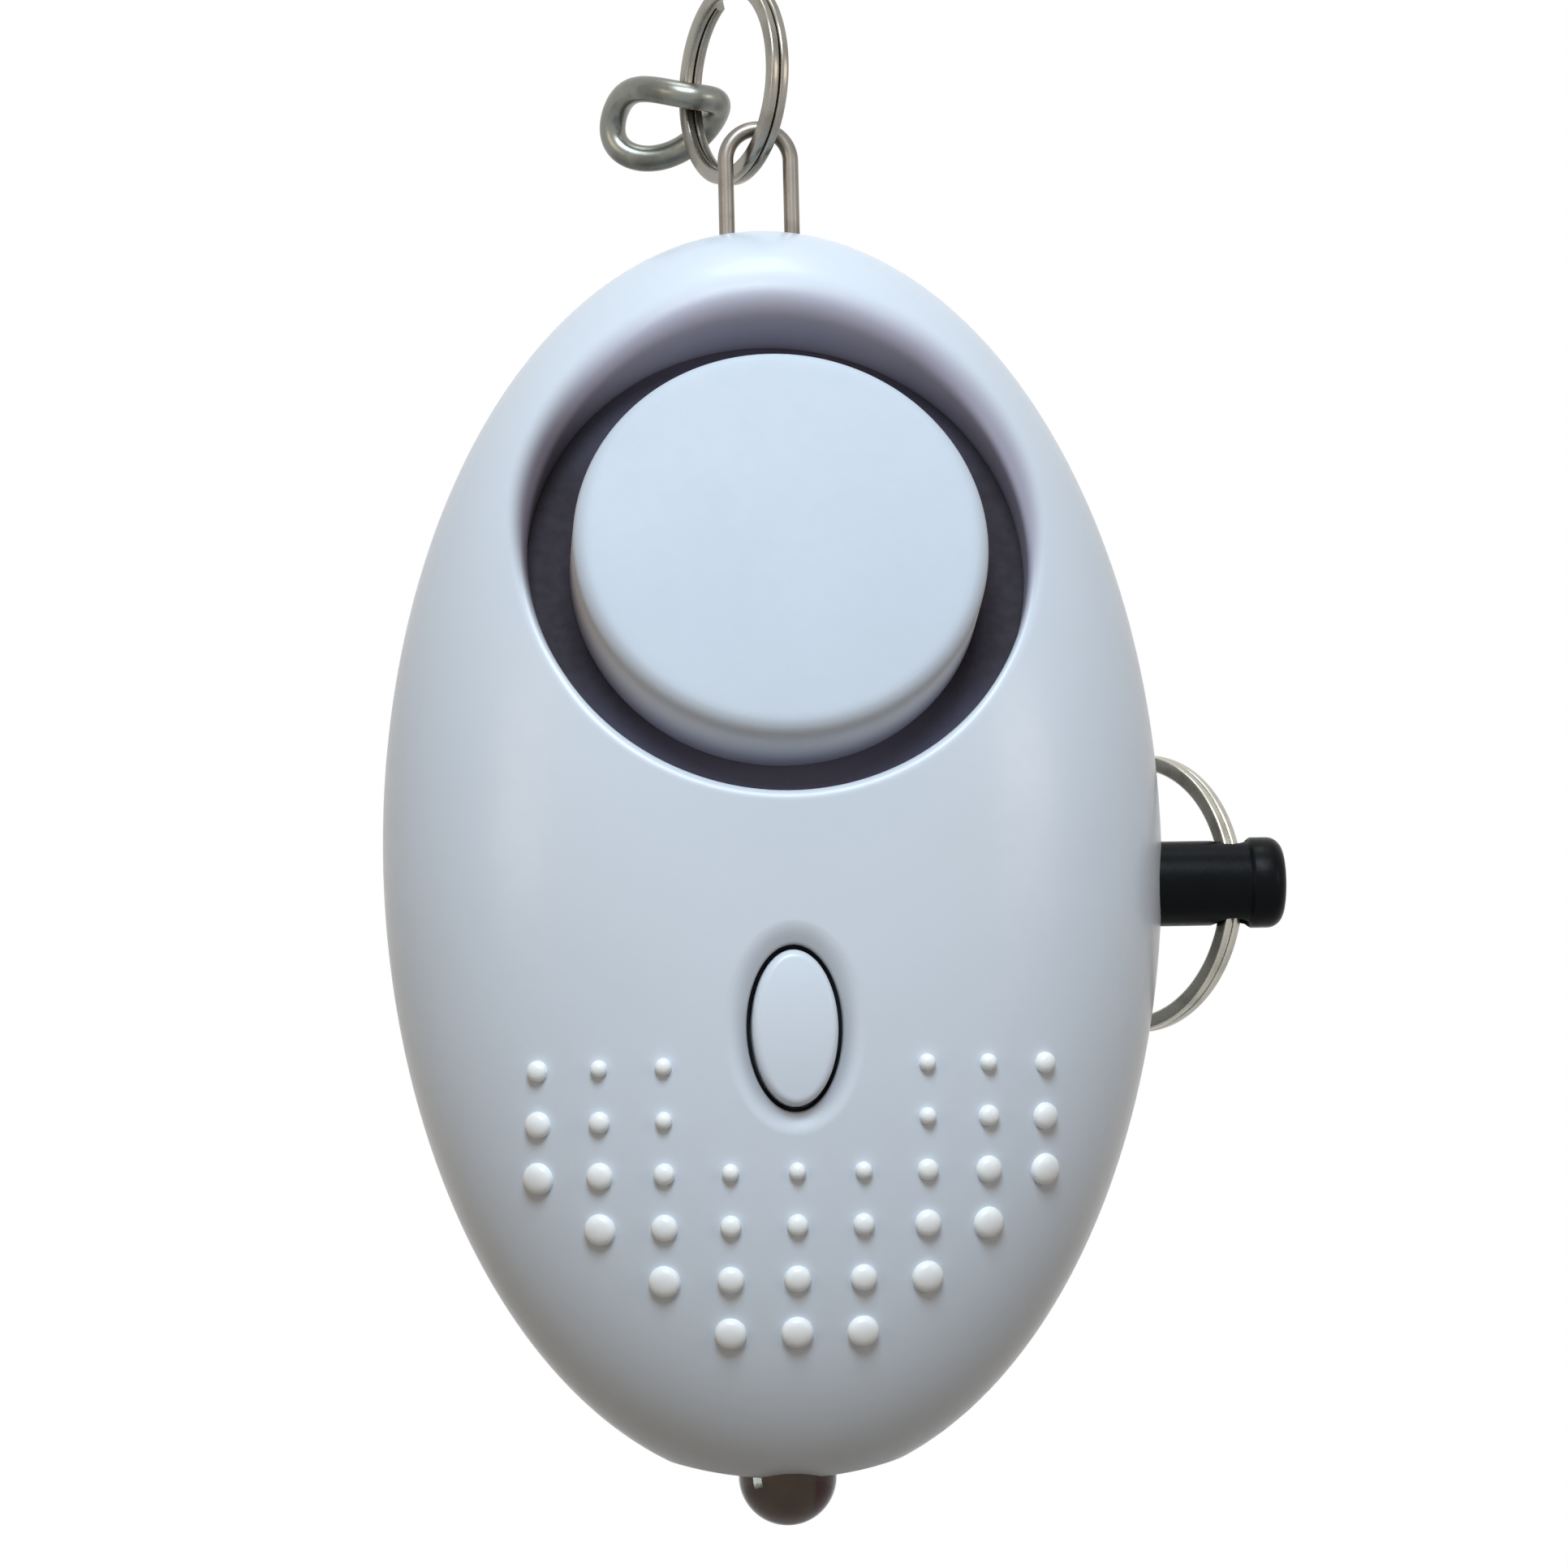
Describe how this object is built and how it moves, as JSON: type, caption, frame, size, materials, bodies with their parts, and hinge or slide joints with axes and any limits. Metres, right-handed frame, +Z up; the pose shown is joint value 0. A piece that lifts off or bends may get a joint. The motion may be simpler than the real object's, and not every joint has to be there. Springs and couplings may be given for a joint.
{
  "type": "personal safety alarm",
  "caption": "Egg-shaped handheld safety alarm with a siren disc, grip dots, torch button and lamp, side pull pin on a ring, and a key ring to hang it by.",
  "frame": {"origin": "the middle of the split key ring that the alarm hangs by, with the case hanging below it", "axes": "+Z up along the long axis of the case; the siren, button and grip dots face -Y; the pull pin leaves along +X"},
  "size_m": [0.0465, 0.0237, 0.0808],
  "materials": {
    "white_plastic": "gloss",
    "dark_plastic": "matte",
    "grey_plastic": "satin",
    "black_plastic": "satin",
    "brass": "satin",
    "piezo_ceramic": "matte",
    "gasket_rubber": "matte",
    "wire_sleeve": "satin",
    "clear_lens": "polished",
    "tinned_steel": "satin",
    "board_green": "satin",
    "copper_wire": "gloss",
    "ferrite": "matte",
    "chip_ceramic": "matte",
    "cell_steel": "polished",
    "screw_steel": "satin",
    "ring_steel": "polished"
  },
  "bodies": {
    "key_ring": {"key_ring": "ring_steel"},
    "case": {"front_shell": "white_plastic", "rear_shell": "white_plastic", "siren_cap": "white_plastic", "sound_ring": "dark_plastic", "piezo_plate": "brass", "piezo_ceramic": "piezo_ceramic", "piezo_gasket": "gasket_rubber", "piezo_wires": "wire_sleeve", "push_switch": "dark_plastic", "torch_lamp": "clear_lens", "lamp_leads": "tinned_steel", "circuit_board": "board_green", "driver_chip": "dark_plastic", "boost_coil": "copper_wire", "coil_core": "ferrite", "drive_transistor": "dark_plastic", "chip_parts": "chip_ceramic", "battery_cradle": "dark_plastic", "battery_cells": "cell_steel", "battery_plate": "brass", "battery_spring": "brass", "case_screws": "screw_steel", "key_bail": "ring_steel", "pin_socket": "dark_plastic"},
    "chain_link": {"chain_link": "ring_steel"},
    "torch_button": {"torch_button": "white_plastic", "switch_plunger": "grey_plastic"},
    "battery_cover": {"battery_cover": "white_plastic", "cover_screw": "screw_steel"},
    "pull_pin": {"pull_pin": "black_plastic"},
    "pin_ring": {"pin_ring": "ring_steel"},
    "contact_upper": {"contact_upper": "brass"},
    "contact_lower": {"contact_lower": "brass"}
  },
  "joints": [
    {"name": "case_swing", "type": "hinge", "parent": "key_ring", "child": "case", "pos_m": [0.00106, -0.00202, -0.00297], "axis": [1, 0, 0], "range_deg": [-35, 20]},
    {"name": "link_swing", "type": "hinge", "parent": "key_ring", "child": "chain_link", "pos_m": [-0.00195, 0.00459, -0.00035], "axis": [-0.0273, 0.0642, 0.9976], "range_deg": [-50, 50]},
    {"name": "button_press", "type": "slide", "parent": "case", "child": "torch_button", "axis": [0, 1, 0], "range_m": [0, 0.0005], "stiffness_N_per_m": 400},
    {"name": "cover_lift", "type": "slide", "parent": "case", "child": "battery_cover", "axis": [0, 1, 0], "range_m": [0, 0.012]},
    {"name": "pin_pull", "type": "slide", "parent": "case", "child": "pull_pin", "axis": [1, 0, 0], "range_m": [0, 0.016]},
    {"name": "pin_ring_swing", "type": "hinge", "parent": "pull_pin", "child": "pin_ring", "pos_m": [0.02476, -0.00202, -0.04287], "axis": [0, 0, 1], "range_deg": [-250, 8]},
    {"name": "contact_upper_close", "type": "hinge", "parent": "case", "child": "contact_upper", "pos_m": [0.01076, -0.00202, -0.04107], "axis": [0, 1, 0], "range_deg": [0, 16]},
    {"name": "contact_lower_close", "type": "hinge", "parent": "case", "child": "contact_lower", "pos_m": [0.01076, -0.00202, -0.04467], "axis": [0, -1, 0], "range_deg": [0, 16]}
  ],
  "couplings": [
    {"joint": "contact_upper_close", "follows": "pin_pull", "rad_per_m": 17.453},
    {"joint": "contact_lower_close", "follows": "pin_pull", "rad_per_m": 17.453}
  ]
}
